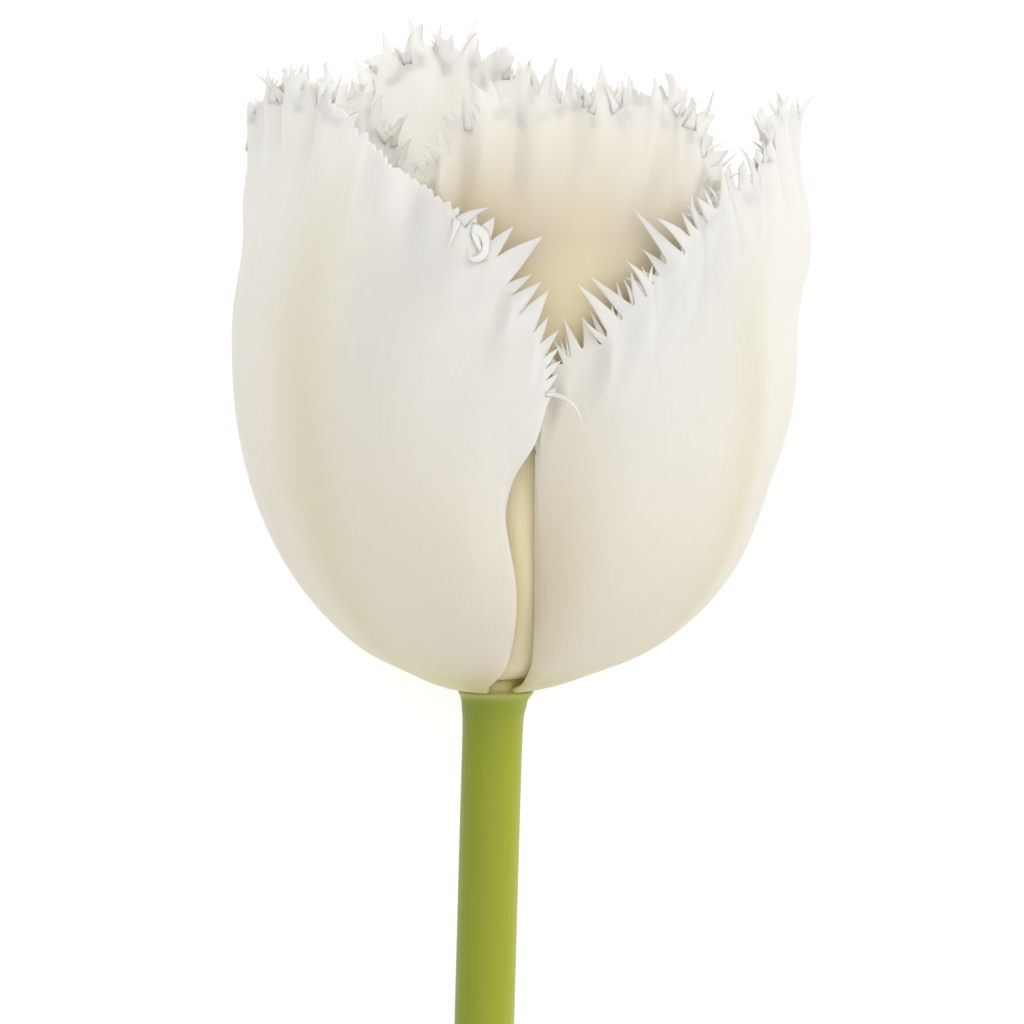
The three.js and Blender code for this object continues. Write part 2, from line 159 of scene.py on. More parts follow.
# %% Petal shapes
# margin: azimuth and height round the rim; left and right: azimuths up the two side edges
# tuck: how far the right edge stands out and the left one in; flare: how far the rim opens
# wave, ripples, phase: height, number and place of the soft waves across; rib: the midrib's vein
# rim rows: share of the margin, tooth length, tooth spacing, turn towards upright, lobe height,
# pleat depth, and how the teeth taper (under 1 a round-sided sabre, over 1 a slender thorn)
# swells: height, how tall, azimuth, how wide, and how far out
# curls: vein, heading clockwise from upright, length, width, bend outward and bend aside, radians
# spurs: how many, between which veins and which places on the vein, and on which face (-1 the inner)
# tints: height, how tall, azimuth, how wide, and how much yellower and darker the petal is there:
# at the foot its own yellow-green, elsewhere painted shade where it curves away from the light or lies
# deep between other petals
BACK_RIM = [(0, 0.2, 1.5, 0.2, 0, 0.1, 1.2), (0.2, 1.2, 1.2, 0.4, 1.2, 0.6, 1.1),
            (0.35, 1.6, 1.1, 0.4, 2.8, 1.2, 1.0), (0.65, 1.6, 1.1, 0.4, 2.8, 1.2, 1.0),
            (0.8, 1.2, 1.2, 0.4, 1.2, 0.6, 1.1), (1, 0.2, 1.5, 0.2, 0, 0.1, 1.2)]
PETALS = {
    "outer_tepal_left": dict(
        cup=OUTER, seed=11, tuck=1.2, flare=0.2, wave=0.5, ripples=5, phase=0.6, rib=0.12,
        margin=[(-105, 21), (-107, 30), (-104, 38.5), (-97, 46), (-88, 52.5), (-78, 57.6), (-66, 59.8),
                (-54, 60.1), (-43, 58.4), (-33, 54.8), (-22, 51.6), (-12.5, 48.7), (-5.5, 45.2), (0, 40),
                (5.6, 36.2), (6.6, 30.9)],
        left=[-113, -112, -109, -105],
        right=[-8, -7, -1.5, 0.3, 0.9, 1.3, 1.35, 0.7, -0.6, -1.35, 0.4, 4.5, 6.6],
        rim=[(0, 0.2, 1.5, 0.3, 0, 0.1, 1), (0.18, 1.0, 1.3, 0.3, 0.9, 0.4, 1.0),
             (0.26, 1.5, 1.2, 0.4, 1.6, 0.6, 0.9), (0.36, 1.5, 1.1, 0.5, 1.8, 0.7, 0.85),
             (0.5, 1.5, 1.1, 0.4, 1.8, 0.7, 0.85), (0.56, 1.2, 1.1, 0.2, 1.2, 0.6, 0.9),
             (0.6, 0.6, 1.1, 0.1, 0.5, 0.3, 0.9), (0.7, 0.4, 1.0, 0.1, 0.3, 0.2, 0.9),
             (0.76, 1.4, 1.8, 0.2, 0.1, 0.15, 0.8), (0.79, 3.3, 2.1, 0.35, 0.1, 0.2, 0.7),
             (0.87, 3.3, 2.1, 0.35, 0.1, 0.2, 0.7), (0.9, 2.7, 1.4, 0.5, 0, 0.1, 0.8),
             (0.97, 2.4, 1.1, 0.5, 0, 0.08, 0.9), (1, 1.2, 1.2, 0.5, 0, 0, 1)],
        swells=[(17, 9, 0, 6, -1.3), (58, 6, -92, 26, -1.0)],
        curls=[(0.51, 95, 7.4, 1.2, 0.9, 5.2), (0.48, 50, 3.4, 1.5, 0.4, 0.4),
               (0.47, 190, 3.0, 1.0, 0.4, 0.2), (0.52, 170, 3.2, 1.0, 0.5, -0.3),
               (0.975, 85, 5.4, 0.45, 0.2, 1.6)],
        tints_and_shade=[(1.0, 2.2, -14, 30, 0.7)],
        spurs=[(30, -0.65, 0.1, 0.975, 1.0, -1), (6, -0.45, 0.1, 0.99, 1.0, 1),
               (11, -0.58, -0.36, 0.955, 1.0, 1)]),
    "outer_tepal_right": dict(
        cup=OUTER, seed=12, tuck=1.1, flare=-0.1, wave=0.5, ripples=4, phase=2.2, rib=0.0,
        margin=[(4.9, 25), (6.5, 31), (11.5, 35), (18, 36.3), (24, 39.6), (31, 43), (37.5, 46), (44, 49),
                (50.5, 50.2), (57.5, 51), (63, 53.4), (70, 57), (81, 57.8), (93, 55.4), (101, 49),
                (107, 41), (111, 32), (113, 24)],
        left=[27, 16.5, 10, 7.3, 5.9, 5.2, 4.9], right=[115, 115, 114, 113],
        rim=[(0, 0.1, 1.4, 0, 0, 0, 1), (0.06, 0.6, 1.4, 0.3, 0, 0, 1),
             (0.12, 3.0, 1.4, 0.25, 0.2, 0.3, 1.25), (0.2, 3.9, 1.6, 0.2, 0.5, 0.4, 1.25),
             (0.4, 3.9, 1.6, 0.1, 0.8, 0.45, 1.25), (0.5, 2.8, 1.5, 0.3, 0.8, 0.6, 1.1),
             (0.58, 1.6, 1.2, 0.4, 1.2, 0.8, 1.0), (0.64, 1.4, 1.3, 0.5, 1.2, 0.8, 0.9),
             (0.72, 1.2, 1.3, 0.5, 0.8, 0.6, 1.0), (0.8, 1.0, 1.3, 0.4, 0.5, 0.5, 1.1),
             (1, 0.2, 1.5, 0.2, 0, 0.1, 1.2)],
        swells=[(14, 11, 4, 9, -1.2), (3.5, 3.5, 4, 9, -1.3), (44.5, 4.5, 88, 24, 0.6),
                (20.5, 6, 92, 30, -0.8), (56, 5, 90, 24, -0.9)],
        # the first row is painted shade down the left side, where the petal curves away from the light
        tints_and_shade=[(17, 22, 8, 13, 0.75), (1.0, 2.2, 30, 30, 0.6)],
        spurs=[(8, -0.75, -0.25, 0.975, 1.0, -1), (22, -0.05, 0.6, 0.975, 1.0, -1),
               (4, 0.1, 0.5, 0.99, 1.0, 1), (20, -0.9, -0.15, 0.985, 1.0, -1)]),
    "outer_tepal_back": dict(
        cup=OUTER, seed=13, tuck=0.8, flare=0.3, wave=0.7, ripples=6, phase=1.1, rib=0.0,
        margin=[(121, 23), (121, 32), (127, 41), (138.5, 48), (152.5, 53.5), (168, 57), (182, 60.4),
                (196, 62.8), (209.5, 62), (222.5, 57), (233.5, 49.5), (241, 41), (243.5, 32), (245, 22)],
        left=[121, 121, 121, 121], right=[240, 243, 245, 245],
        rim=[(0, 0.2, 1.5, 0.2, 0, 0.1, 1.2), (0.15, 1.2, 1.3, 0.4, 1.2, 0.6, 1.1),
             (0.35, 1.7, 1.0, 0.4, 2.6, 0.9, 1.0), (0.7, 1.7, 1.0, 0.4, 2.8, 1.0, 1.0),
             (0.85, 1.2, 1.3, 0.4, 1.2, 0.6, 1.1), (1, 0.2, 1.5, 0.2, 0, 0.1, 1.2)],
        spurs=[(36, -0.6, 0.75, 0.975, 1.0, 1), (9, -0.5, 0.7, 0.985, 1.0, -1)]),
    "inner_tepal_front": dict(
        cup=INNER, seed=14, tuck=0.1, flare=1.3, wave=0.5, ripples=5, phase=0.3, rib=0.0,
        margin=[(-45, 24), (-43, 32), (-35.5, 40), (-26.5, 47), (-18.5, 54), (-8, 58.4), (4, 59),
                (15.5, 59), (26.5, 58.8), (37, 58.5), (43, 55), (47, 48), (52.5, 40), (57, 32), (58, 24)],
        left=[-36, -41, -44.5, -45], right=[39, 50, 57, 58],
        rim=[(0, 0.2, 1.4, 0.2, 0, 0, 1.2), (0.1, 1.8, 1.2, 0.4, 0.6, 0.4, 1.1),
             (0.28, 2.2, 1.1, 0.2, 0.7, 0.3, 1.0), (0.4, 1.9, 1.0, 0.3, 2.6, 0.9, 0.95),
             (0.62, 1.9, 1.0, 0.2, 2.6, 0.9, 0.95), (0.68, 2.6, 1.0, 0.1, 2.2, 0.7, 0.95),
             (0.82, 2.6, 1.1, 0, 1.2, 0.5, 1.0), (0.92, 1.6, 1.2, 0.1, 0.6, 0.3, 1.1),
             (1, 0.2, 1.4, 0.2, 0, 0, 1.2)],
        swells=[(14, 12, 1, 4.5, 0.42)],
        # painted shade high on the left, deep in the V between the two outer petals
        tints_and_shade=[(47, 8, -12, 14, 0.6)],
        spurs=[(36, -0.55, 0.6, 0.975, 1.0, -1), (8, -0.5, 0.5, 0.99, 1.0, 1),
               (10, -0.66, -0.42, 0.94, 0.995, 1)]),
    "inner_tepal_back_left": dict(
        cup=INNER, seed=15, tuck=0.1, flare=0.4, wave=0.7, ripples=5, phase=1.9, rib=0.0,
        margin=[(-172, 26), (-172, 34), (-166, 42), (-155.5, 49), (-143, 55), (-130, 58), (-115, 55.5),
                (-101, 50), (-89, 44), (-77, 38), (-69, 31), (-66, 24)],
        left=[-160, -168, -172, -172], right=[-76, -68, -66, -66],
        rim=BACK_RIM,
        spurs=[(22, -0.6, 0.6, 0.975, 1.0, 1), (8, -0.5, 0.5, 0.985, 1.0, -1)]),
    "inner_tepal_back_right": dict(
        cup=INNER, seed=26, tuck=0.1, flare=0.4, wave=0.7, ripples=5, phase=0.9, rib=0.0,
        margin=[(72, 22), (74, 30), (84, 37), (98, 42), (111.5, 46.5), (127, 52), (140.5, 56),
                (153.5, 54.5), (165, 49), (172.5, 42), (176, 34), (177.5, 26)],
        left=[84, 74, 72, 72], right=[166, 175, 177, 177.5],
        rim=BACK_RIM),
}


def through(points, t):
    """The smooth curve through equally spaced points: each cubic leaves along its neighbours' chord."""
    p = np.asarray(points, float).reshape(len(points), -1)
    p = np.vstack([2 * p[0] - p[1], p, 2 * p[-1] - p[-2]])
    x = np.clip(t, 0, 1) * (len(p) - 3)
    i = np.minimum(x.astype(int), len(p) - 4)
    f = (x - i)[..., None]
    a, b, c, d = p[i], p[i + 1], p[i + 2], p[i + 3]
    return 0.5 * (2 * b + (c - a) * f + (2 * a - 5 * b + 4 * c - d) * f**2 + (3 * b - a - 3 * c + d) * f**3)


def crumple(petal, u, v):
    """Small creases near the rim: three crossing waves, faded out at the corners."""
    waves = (0.28 * np.sin(31 * u + 5 * np.sin(3 * u + petal["phase"]) + 8 * v) * smooth(0.84, 1, v)
             + 0.2 * np.sin(53 * u + 19 * v + petal["phase"]) * smooth(0.88, 1, v)
             + 0.16 * np.sin(38 * u - 47 * v) * smooth(0.82, 0.96, v))
    return waves * (1 - smooth(0.82, 0.97, np.abs(u)))


def petal_point(petal, u, v):
    """The middle of a petal: azimuth and height blend from foot to margin by v^1.5, and the bowl's
    radius there is pushed by the tuck, the flare and ripple of the rim, the midrib and the crumple."""
    w = (u + 1) / 2
    rise = v**HEIGHT_POWER
    edge = through(petal["margin"], w)
    first, last = petal["margin"][0][0], petal["margin"][-1][0]
    plain = through(petal["left"], v)[..., 0] * (1 - w) + through(petal["right"], v)[..., 0] * w
    azimuth = np.radians(plain + (edge[..., 0] - first * (1 - w) - last * w) * rise)
    z = petal["cup"]["start"] * (1 - rise) + edge[..., 1] * rise
    radius = (cup_radius(z, petal["cup"])
              + petal["tuck"] * u * np.abs(u) * smooth(0.25, 0.6, v)
              + petal["flare"] * smooth(0.7, 1, v) ** 2 * (1 - u * u)
              + petal["wave"] * np.sin(math.pi * petal["ripples"] * u + petal["phase"])
              * smooth(0.55, 1, v) * (0.4 + 0.6 * np.abs(u)) * (1 - smooth(0.6, 0.95, np.abs(u)))
              + RIB_HEIGHT * bell(u, RIB_WIDTH) * smooth(0.05, 0.3, v) * (1 - smooth(0.75, 1, v)))
    if "lobes" in petal:
        radius = radius + pleat(petal, u) * smooth(0.84, 1, v) ** 2
    radius = radius + crumple(petal, u, v)
    for height, tall, middle, wide, out in petal.get("swells", ()):
        radius = radius + out * bell(z - height, tall) * bell(np.degrees(azimuth) - middle, wide)
    return np.stack([axis_x(z) + radius * np.sin(azimuth), -radius * np.cos(azimuth), z], -1)


def outward(petal, here):
    """The way out of the turned bowl: the radial direction, tipped by the slope of its profile."""
    z = np.maximum(here[..., 2], petal["cup"]["start"])
    slope = (cup_radius(z + 0.01, petal["cup"]) - cup_radius(z - 0.01, petal["cup"])) / 0.02
    out = np.stack([here[..., 0] - axis_x(z), here[..., 1], np.zeros_like(z)], -1)
    out /= np.linalg.norm(out, axis=-1, keepdims=True)
    out[..., 2] = -slope
    return out / np.linalg.norm(out, axis=-1, keepdims=True)


def unit(vectors):
    """Vectors scaled to length 1."""
    return vectors / np.maximum(np.linalg.norm(vectors, axis=-1, keepdims=True), 1e-9)


def pressed(outer):
    """How far the table holds each laid-down point up."""
    return np.maximum(-outer[..., 2:3], 0) * np.array([0, 0, 1.0])


# %% [markdown]
# ## How the margin tears
# The comb along the rim is what makes this kind of tulip. It is not hair: the petal's own margin is
# torn into lobes a few millimetres wide, and every lobe into flat pointed teeth. The lobes bend in and
# out by turns, so the rim is pleated too. First come the places where lobes and teeth begin and end.

# %% Lobes and pleats
LOBE_WIDTH = 3.0                  # mm along the margin
SHAKE = 0.3                       # how far a notch may stray, as a share of its stretch


def rim(petal, u, column):
    """One column of the rim table at vein u."""
    rows = np.array(petal["rim"])
    return np.interp((u + 1) / 2, rows[:, 0], rows[:, column])


def torn(petal, widths, draw):
    """Vein numbers where stretches begin: evenly spaced in the sum of length / width, then shaken."""
    fine = np.linspace(-1, 1, 4001)
    line = petal_point(petal, fine, np.ones_like(fine))
    steps = np.linalg.norm(np.diff(line, axis=0), axis=1) / widths(fine)[1:]
    number = np.concatenate([[0], np.cumsum(steps)])
    count = round(number[-1])
    shaken = np.concatenate([[0], draw.uniform(-SHAKE, SHAKE, count - 1), [0]])
    return np.interp((np.arange(count + 1) + shaken) * number[-1] / count, number, fine)


def along(ends, u):
    """Which stretch vein u is in, and its share of the way through it."""
    k = np.clip(np.searchsorted(ends, u, side="right") - 1, 0, len(ends) - 2)
    return k, np.clip((u - ends[k]) / (ends[k + 1] - ends[k]), 0, 1)


def pleat(petal, u):
    """How far the rim is pushed out of the bowl: the lobes' own leans, joined smoothly."""
    k, t = along(petal["lobes"], u)
    lean = petal["leans"]
    return through(lean, (k + t - 0.5) / (len(lean) - 1))[..., 0] * rim(petal, u, 5)


for petal in PETALS.values():
    draw = np.random.default_rng(petal["seed"])
    petal["lobes"] = torn(petal, lambda u: np.full_like(u, LOBE_WIDTH), draw)
    number = len(petal["lobes"]) - 1
    petal["leans"] = np.where(np.arange(number) % 2, 1, -1) * draw.uniform(0.3, 1.3, number)
    petal["sizes"] = draw.uniform(0.5, 1.3, number)
    petal["turns"] = draw.normal(0, 0.16, number)
print("lobes:", {name: len(petal["leans"]) for name, petal in PETALS.items()})

# %% [markdown]
# ## The comb
# Then the sheet is carried on past its margin. At every place the lobe's round rise and the tooth's
# pointed one are added; the teeth of a lobe fan out a little, and each bends in its own way. So a tooth
# is broad at its root, runs without a seam into the petal, and thins to its point. Hair strands, or a
# noise on the edge, would be quicker, but strands look stuck on and a noisy edge looks cut with a saw.

# %% Where the teeth stand
COLUMNS, ROWS = 10, 9             # points across a tooth, and from the margin to its tip
APEX = (0.35, 0.65)               # the share of a tooth's width where its tip may stand


def teeth_places(petal, draw):
    """The veins where teeth begin and end, and each column's vein, its tooth and its climb, which is 0
    in a notch and 1 at a tip."""
    ends = torn(petal, lambda u: rim(petal, u, 2), draw)
    count = len(ends) - 1
    t = np.arange(COLUMNS) / COLUMNS
    apex = draw.uniform(*APEX, count)[:, None]
    share = np.where(t < 0.5, apex * t / 0.5, apex + (1 - apex) * (t - 0.5) / 0.5)
    u = np.append((ends[:-1, None] + np.diff(ends)[:, None] * share).ravel(), 1.0)
    tooth = np.append(np.repeat(np.arange(count), COLUMNS), count - 1)
    climb = np.append(np.tile(1 - np.abs(2 * t - 1), count), 0.0)
    return ends, u, tooth, climb


# %% Which way the teeth point
FAN, STRAY, LEAST_STRAY = 0.8, 0.22, 0.05    # turns within a lobe and of single teeth, radians
BEND, SWAY, TIP_LEAN = 0.5, 0.3, 0.35        # spread of how teeth curve outward, aside and lean out
BLUNT_SHARE = 0.12                # the share of teeth that are short flaps
MARGIN_HALF = 0.2                 # half the thickness where the comb starts


def teeth_ways(petal, middle, draw):
    """Each tooth's plain way, between square to the margin and upright; the fanned one it takes; and
    the way along the margin. How wildly they stray goes by the pleats there."""
    end = np.ones(len(middle))
    lobe, across = along(petal["lobes"], middle)
    out = outward(petal, petal_point(petal, middle, end))
    step = unit(petal_point(petal, np.minimum(middle + 0.01, 1), end)
                - petal_point(petal, np.maximum(middle - 0.01, -1), end))
    square = unit(np.cross(out, step))
    upright = np.array([0, 0, 1.0]) - out * out[:, 2:]
    way = rim(petal, middle, 3)[:, None]
    plain = unit((1 - way) * square + way * upright)
    wild = np.clip(rim(petal, middle, 5), 0.1, 1.2)
    fan = wild * (petal["turns"][lobe] + FAN * (across - 0.5) + draw.normal(0, STRAY, len(middle)))
    fan = fan + draw.normal(0, LEAST_STRAY, len(middle))
    return plain, unit(plain + fan[:, None] * step), step, wild


# %% The comb
def comb(petal):
    """The sheet past the margin: rows of points from the margin to the tips, half the thickness there,
    the columns' vein numbers, and how far each point is past the margin."""
    draw = np.random.default_rng(petal["seed"] + 100)
    ends, u, tooth, climb = teeth_places(petal, draw)
    count = len(ends) - 1
    middle = (ends[:-1] + ends[1:]) / 2
    plain, heading, step, wild = teeth_ways(petal, middle, draw)

    width = np.linalg.norm(np.diff(petal_point(petal, ends, np.ones(count + 1)), axis=0), axis=1)
    size = draw.uniform(0.0, 1.0, count)
    size = 1 + wild * (1.2 * size**1.8 - 0.6) + 0.2 * (size - 0.5)
    length = rim(petal, middle, 1) * size * np.clip(0.6 + 0.3 * width, 0.5, 1.3)
    taper = rim(petal, middle, 6)
    gap = 0.7 * np.maximum(taper - 1, 0)[tooth]
    power = np.minimum(taper, 1) * draw.uniform(0.85, 1.15, count)
    spike = np.maximum((climb - gap) / (1 - gap), 0) ** power[tooth]
    blunt = draw.random(count) < BLUNT_SHARE * wild
    spike = np.where(blunt[tooth], np.minimum(1.8 * climb, 1) * 0.7, spike)
    k, t = along(petal["lobes"], u)
    lobed = rim(petal, u, 4) * petal["sizes"][k] * (1 - np.abs(2 * t - 1)) ** 1.25
    reach = length[tooth] * spike
    lean = 0.25 * petal["leans"][k] * rim(petal, u, 5)
    tip_lean = (draw.normal(0.0, TIP_LEAN, count) * wild)[tooth] + 0.6 * lean
    bend = (draw.normal(0.0, BEND, count) * wild)[tooth]
    sway = (draw.normal(0.0, SWAY, count) * wild)[tooth]

    f = np.linspace(0, 1, ROWS)[:, None]
    base = petal_point(petal, u, np.ones_like(u))
    base_out = outward(petal, base)
    deep = f * reach
    curve = deep**2 / np.maximum(length[tooth], 0.3)
    lift = lean * lobed * f + tip_lean * deep + bend * curve
    points = (base + plain[tooth] * (lobed * f)[..., None] + heading[tooth] * deep[..., None]
              + step[tooth] * (sway * curve)[..., None] + base_out * lift[..., None])
    half = MARGIN_HALF * (1 - 0.6 * f * np.clip((lobed + reach) / 2, 0, 1))
    return points, base_out * half[..., None], u, f * (lobed + reach)


# %% [markdown]
# ## Sheet and comb in one skin
# Each petal is a closed sheet: an outer and an inner face either side of the middle surface, thinner
# towards the rim. The comb has more columns than the sheet, so the two are zipped together by
# triangles, and one skin runs from the foot to the tips. Each point keeps three marks for the finish:
# its vein, its place from foot to fringe, and whether it is on the inner face.

# %% Building the petals
ACROSS, ALONG = 241, 76           # points across and along a sheet
LAST_ROW = 0.985                  # place of the sheet's last row, from where the comb takes over
FRINGE_REACH = 12.0               # fringe that would add 1 to the place mark, mm
PETAL_SLOT = {True: "outer_tepal_white", False: "inner_tepal_cream"}     # by whether the cup is OUTER


def zipper(lower, upper, lower_u, upper_u):
    """Triangles between two rows of unlike spacing: always step on along the row whose next point
    comes first."""
    after = np.concatenate([lower_u[1:], upper_u[1:]])
    order = np.argsort(after, kind="stable")
    below = order < len(lower_u) - 1
    i = np.cumsum(below) - below
    j = np.cumsum(~below) - ~below
    next_lower = lower[np.minimum(i + 1, len(lower) - 1)]
    next_upper = upper[np.minimum(j + 1, len(upper) - 1)]
    third = np.where(below, next_lower, next_upper)
    return np.stack([lower[i], third, upper[j]], -1)


def skin(middle, half, parts, border, veins, place, name, node, finish_slot):
    """A closed sheet from a middle surface and its half thickness: both faces, and a flat strip round
    the edge."""
    outer, inner = lay_down(middle + half), lay_down(middle - half)
    push = pressed(outer)
    count = len(middle)
    after = np.roll(border, -1)
    strip = np.stack([after, border, border + count, after + count], -1)
    faces = [face for part in parts for face in part.tolist()]
    faces += [face for part in parts for face in (part[:, ::-1] + count).tolist()]
    flat = np.arange(len(faces), len(faces) + len(strip))
    faces += strip.tolist()
    marks = np.vstack([np.stack([veins, place, np.full(count, side)], -1) for side in (0.0, 1.0)])
    return make_piece(name, np.vstack([outer + push, inner + push]), faces, marks, node, finish_slot, flat)


def tint_and_shade_at(petal, points):
    """How much yellower and darker each upright point is: the sum of the bells in the petal's tints rows,
    which give the foot its own yellow-green and paint shade where the petal curves away from the light.
    """
    azimuth = np.degrees(np.arctan2(points[:, 0] - axis_x(points[:, 2]), -points[:, 1]))
    return sum((more * bell(points[:, 2] - height, tall) * bell(azimuth - middle, wide)
                for height, tall, middle, wide, more in petal.get("tints_and_shade", ())), np.zeros(len(points)))


def build_petal(name, petal, finish_slot):
    """The sheet zipped to its comb."""
    v, u = np.meshgrid(LAST_ROW * np.linspace(0, 1, ALONG) ** 0.8, np.linspace(-1, 1, ACROSS),
                       indexing="ij")
    here = petal_point(petal, u, v)
    half = PETAL_THICKNESS / 2 - RIM_THINNING * np.maximum(smooth(0.6, 1, v), smooth(0.9, 1, np.abs(u)))
    half = half - EDGE_THINNING * smooth(0.96, 1, np.abs(u)) * (1 - smooth(0.8, 1, v))
    half = outward(petal, here) * half[..., None]
    tips, tip_half, tip_u, reach = comb(petal)
    sheet, teeth = np.arange(u.size).reshape(u.shape), u.size + np.arange(reach.size).reshape(reach.shape)
    border = np.concatenate([sheet[0, :-1], sheet[:, -1], teeth[:-1, -1], teeth[-1, :0:-1], teeth[::-1, 0],
                             sheet[:0:-1, 0]])
    middle = np.vstack([here.reshape(-1, 3), tips.reshape(-1, 3)])
    veins = np.concatenate([u.ravel(), np.broadcast_to(tip_u, reach.shape).ravel()]) - petal["rib"]
    place = np.concatenate([v.ravel(), (1 + reach / FRINGE_REACH).ravel()])
    faces = [grid_faces(*sheet.shape), grid_faces(*teeth.shape, first=u.size),
             zipper(sheet[-1], teeth[0], u[0], tip_u)]
    half = np.vstack([half.reshape(-1, 3), tip_half.reshape(-1, 3)])
    main = skin(middle, half, faces, border, veins, place, name + "_surface", name, finish_slot)
    midrib = 0.5 * bell(veins, 0.11) * np.maximum(1 - place**6, 0)
    # first mark: the foot's yellow-green and painted shade; second: the midrib
    tints_and_shade = np.tile(np.stack([tint_and_shade_at(petal, middle), midrib, np.zeros(len(middle))], -1), (2, 1))
    store = main.data.attributes.new("tint_and_shade", "FLOAT_VECTOR", "POINT")
    store.data.foreach_set("vector", tints_and_shade.astype(np.float32).ravel())
    print(name, "has", (len(tip_u) - 1) // COLUMNS, "teeth and", len(main.data.polygons), "faces")
    return main


petals = {name: build_petal(name, petal, PETAL_SLOT[petal["cup"] is OUTER])
          for name, petal in PETALS.items()}

# %% [markdown]
# ## Spurs and curls
# The fringe stands in more than one rank: just below the margin more teeth tear out of either face, and
# single strips of the margin curl up like shavings. Each is a little blade of its own, carried along
# a bent line: full width and no thickness where it leaves the face, so that it seems to peel out of it,
# and running out to a point. They could be cut from the sheet's own grid, but all of it would have to
# be as fine as they are.

# %% Spurs
RING = 6                          # points round a blade
CLEARANCE = 0.05                  # how far a blade's root stands off the face, mm
BLADE_HALF, TIP_HALF = 0.13, 0.012           # half a blade's thickness, and the least it has, mm
SPUR_LENGTH, SPUR_WIDTH = (1.8, 4.0), (0.8, 1.5)         # mm
SPUR_PLACE, CURL_PLACE = 1.2, 0.997          # a blade's place mark, and where on its vein a curl starts


def blades(root, heading, out, length, width, curl, sway, stations):
    """Bent blades: at share t the heading has turned by curl * t outward and by sway * t aside, and the
    width is (1 - t^k)^1.15, a triangle for a short blade (k = 0.9), a ribbon for a long one (k = 3)."""
    t = np.linspace(0, 1, stations)
    side = np.cross(heading, out)
    bend, veer = curl[:, None] * t, sway[:, None] * t
    way = (heading[:, None] * (np.cos(bend) * np.cos(veer))[..., None]
           + out[:, None] * np.sin(bend)[..., None]
           + side[:, None] * (np.cos(bend) * np.sin(veer))[..., None])
    steps = way * (length / (stations - 1))[:, None, None]
    middle = root[:, None] + np.cumsum(steps, 1) - steps
    across = unit(np.cross(way, out[:, None]))
    up = np.cross(across, way)
    slender = np.clip(length / width / 3, 0.9, 3)[:, None]
    wide = width[:, None] / 2 * ((1 - t**slender) ** 1.15 + 0.04)
    deep = np.broadcast_to(BLADE_HALF * np.minimum(t / 0.3, 1) * (1 - t**4) + TIP_HALF, wide.shape)
    angle = 2 * math.pi * np.arange(RING) / RING
    return (middle[:, :, None] + across[:, :, None] * (wide[..., None] * np.cos(angle))[..., None]
            + up[:, :, None] * (deep[..., None] * np.sin(angle))[..., None])


def on_face(petal, u, v, side):
    """Points just off one face of the sheet, the way out of it there, and upright along it."""
    here = petal_point(petal, u, v)
    across = petal_point(petal, u + 0.008, v) - petal_point(petal, u - 0.008, v)
    out = unit(np.cross(across, here - petal_point(petal, u, v - 0.008))) * side[:, None]
    upright = unit(np.array([0, 0, 1.0]) - out * out[:, 2:])
    half = PETAL_THICKNESS / 2 - RIM_THINNING * smooth(0.6, 1, v) + CLEARANCE
    return here + out * half[:, None], out, upright


def build_spurs(name, petal, rows, end, stations):
    """One piece of blades from rows of vein, place, face, angle, length, width, curl and sway."""
    u, v, side, angle, length, width, curl, sway = np.vstack(rows).T
    root, out, upright = on_face(petal, u, v, side)
    angle = angle[:, None]
    heading = np.cos(angle) * upright + np.sin(angle) * np.cross(upright, out) * side[:, None]
    heading = unit(heading + 0.12 * out)
    out = unit(out - heading * (out * heading).sum(-1, keepdims=True))
    form = blades(root, heading, out, length, width, curl, sway * side, stations)
    start = np.arange(len(form))[:, None] * stations * RING
    one = grid_faces(stations, RING, wrap=True, flip=True)
    quads = (one[None] + start[..., None]).reshape(-1, 4).tolist()
    last = start + (stations - 1) * RING
    caps = (start + np.arange(RING)).tolist() + (last + np.arange(RING)[::-1]).tolist()
    points = lay_down(form.reshape(-1, 3))
    marks = np.stack([np.repeat(u, stations * RING), np.full(len(points), SPUR_PLACE),
                      np.zeros(len(points))], -1)
    return make_piece(name + end, points, quads + caps, marks, name, PETAL_SLOT[petal["cup"] is OUTER])


def spur_rows(petal):
    """Random rows for the stretches in the petal's spurs table."""
    draw = np.random.default_rng(petal["seed"] + 300)
    rows = []
    for count, first, last, low, high, side in petal["spurs"]:
        u, v = draw.uniform(first, last, count), draw.uniform(low, high, count)
        angle, length = draw.normal(0, 0.45, count), draw.uniform(*SPUR_LENGTH, count)
        width, curl = draw.uniform(*SPUR_WIDTH, count), draw.normal(0.3, 0.3, count)
        sway = draw.normal(0, 0.5, count)
        rows.append(np.stack([u, v, np.full(count, float(side)), angle, length, width, curl, sway], -1))
    return rows


def curl_rows(petal):
    """The rows that the petal's curls table gives, all of them on the outer face."""
    return [[[u, CURL_PLACE, 1, math.radians(angle), *rest]] for u, angle, *rest in petal["curls"]]


spurs = [build_spurs(name, petal, spur_rows(petal), "_spurs", 8)
         for name, petal in PETALS.items() if "spurs" in petal]
spurs += [build_spurs(name, petal, curl_rows(petal), "_curls", 22)
          for name, petal in PETALS.items() if "curls" in petal]
print("pieces of spurs:", [piece.name for piece in spurs])

# %% [markdown]
# ## The stalk
# A tulip's stalk is a plain round rod that swells into a small collar under the bloom and goes on
# inside as the pad the petals sit round. Cut and laid down, it runs back from the bloom and sinks to
# the table in a long easy curve. A curve with a bevel would give a plain rod, but the pad and collar
# need a radius of their own at every height, so it is a ring carried along that line. The ring is very
# slightly fluted, because the stalk's fibres show through its skin.

